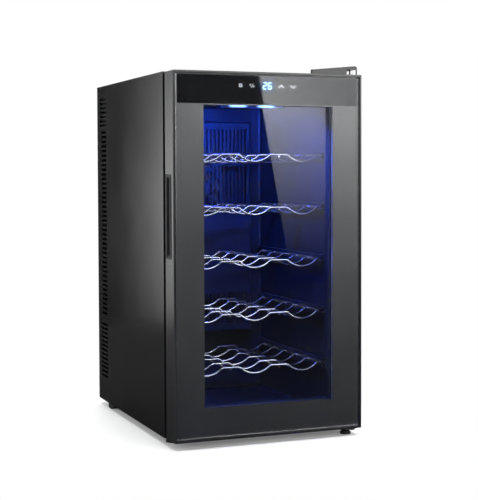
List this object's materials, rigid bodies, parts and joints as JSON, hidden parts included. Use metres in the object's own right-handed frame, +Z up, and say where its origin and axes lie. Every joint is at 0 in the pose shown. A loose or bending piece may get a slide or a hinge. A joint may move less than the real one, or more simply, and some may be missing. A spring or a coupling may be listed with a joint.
{
  "type": "wine cooler",
  "caption": "Free-standing black thermoelectric wine cooler with a hinged glass door, touch panel, blue interior lamp and sliding wavy wire shelves.",
  "frame": {"origin": "on the floor, under the middle of the whole cooler's box", "axes": "+Z up, -Y out of the glass door, +X towards the door's hinge side"},
  "size_m": [0.345, 0.488, 0.645],
  "materials": {
    "case_steel": "satin",
    "rear_steel": "matte",
    "zinc_steel": "satin",
    "chrome_wire": "polished",
    "door_plastic": "satin",
    "black_plastic": "matte",
    "liner_plastic": "satin",
    "gloss_black": "gloss",
    "pane_glass": "gloss",
    "lamp_diffuser": "satin",
    "enamel_film": "gloss",
    "bare_aluminium": "satin",
    "seal_rubber": "matte",
    "foot_rubber": "matte",
    "foam": "matte",
    "ceramic_plate": "matte",
    "circuit_board": "satin",
    "lamp_leds": "gloss",
    "nylon": "satin"
  },
  "bodies": {
    "cabinet": {"left_side_panel": "case_steel", "right_side_panel": "case_steel", "top_panel": "case_steel", "base_pan": "case_steel", "front_frame": "case_steel", "rear_cover": "rear_steel", "rear_cover_screws": "zinc_steel", "rear_bulkhead": "zinc_steel", "inner_liner": "liner_plastic", "insulation_foam": "foam", "drain_tube": "nylon", "cold_sink": "bare_aluminium", "cold_block": "bare_aluminium", "peltier_module": "ceramic_plate", "hot_sink": "bare_aluminium", "sink_screws": "zinc_steel", "hot_fan_frame": "black_plastic", "cold_fan_frame": "black_plastic", "fan_cover": "liner_plastic", "lamp_housing": "liner_plastic", "lamp_board": "lamp_leds", "lamp_lens": "lamp_diffuser", "temperature_sensor": "nylon", "power_board": "circuit_board", "power_board_cover": "black_plastic", "power_inlet": "black_plastic", "foot_insert": "nylon", "rear_feet": "foot_rubber", "bottom_hinge_bracket": "zinc_steel", "bottom_hinge_pin": "zinc_steel", "top_hinge_bracket": "zinc_steel", "top_hinge_pin": "zinc_steel", "top_hinge_cover": "gloss_black", "hinge_screws": "zinc_steel"},
    "door": {"door_top_rail": "door_plastic", "door_bottom_rail": "door_plastic", "door_hinge_stile": "door_plastic", "door_handle_stile": "door_plastic", "handle_cup": "black_plastic", "outer_glass": "pane_glass", "glass_print": "enamel_film", "control_panel": "enamel_film", "control_board": "circuit_board", "display_module": "gloss_black", "glass_spacer": "bare_aluminium", "inner_glass": "pane_glass", "door_inner_trim": "black_plastic", "door_gasket": "seal_rubber", "gasket_magnet": "seal_rubber", "bottom_hinge_bush": "nylon", "top_hinge_bush": "nylon"},
    "shelf_1": {"wire_shelf_1": "chrome_wire"},
    "shelf_2": {"wire_shelf_2": "chrome_wire"},
    "shelf_3": {"wire_shelf_3": "chrome_wire"},
    "shelf_4": {"wire_shelf_4": "chrome_wire"},
    "shelf_5": {"wire_shelf_5": "chrome_wire"},
    "hot_fan": {"hot_fan_rotor": "black_plastic"},
    "cold_fan": {"cold_fan_rotor": "black_plastic"},
    "left_foot": {"front_left_foot": "foot_rubber"},
    "right_foot": {"front_right_foot": "foot_rubber"}
  },
  "joints": [
    {"name": "door_hinge", "type": "hinge", "parent": "cabinet", "child": "door", "pos_m": [0.163, -0.222, 0.32], "axis": [0, 0, 1], "range_deg": [0, 135]},
    {"name": "shelf_1_slide", "type": "slide", "parent": "cabinet", "child": "shelf_1", "axis": [0, -1, 0], "range_m": [0, 0.085]},
    {"name": "shelf_2_slide", "type": "slide", "parent": "cabinet", "child": "shelf_2", "axis": [0, -1, 0], "range_m": [0, 0.085]},
    {"name": "shelf_3_slide", "type": "slide", "parent": "cabinet", "child": "shelf_3", "axis": [0, -1, 0], "range_m": [0, 0.085]},
    {"name": "shelf_4_slide", "type": "slide", "parent": "cabinet", "child": "shelf_4", "axis": [0, -1, 0], "range_m": [0, 0.085]},
    {"name": "shelf_5_slide", "type": "slide", "parent": "cabinet", "child": "shelf_5", "axis": [0, -1, 0], "range_m": [0, 0.085]},
    {"name": "hot_fan_spin", "type": "hinge", "parent": "cabinet", "child": "hot_fan", "pos_m": [0, 0.2, 0.43], "axis": [0, 1, 0], "continuous": true},
    {"name": "cold_fan_spin", "type": "hinge", "parent": "cabinet", "child": "cold_fan", "pos_m": [0, 0.098, 0.43], "axis": [0, 1, 0], "continuous": true},
    {"name": "left_foot_screw", "type": "hinge", "parent": "cabinet", "child": "left_foot", "pos_m": [-0.148, -0.166, 0.006], "axis": [0, 0, 1], "continuous": true},
    {"name": "right_foot_screw", "type": "hinge", "parent": "cabinet", "child": "right_foot", "pos_m": [0.1525, -0.22, 0.003], "axis": [0, 0, 1], "continuous": true}
  ],
  "couplings": [
    {"joint": "shelf_1_slide", "follows": "door_hinge", "m_per_rad": 0.036},
    {"joint": "shelf_2_slide", "follows": "door_hinge", "m_per_rad": 0.036},
    {"joint": "shelf_3_slide", "follows": "door_hinge", "m_per_rad": 0.036},
    {"joint": "shelf_4_slide", "follows": "door_hinge", "m_per_rad": 0.036},
    {"joint": "shelf_5_slide", "follows": "door_hinge", "m_per_rad": 0.036}
  ]
}
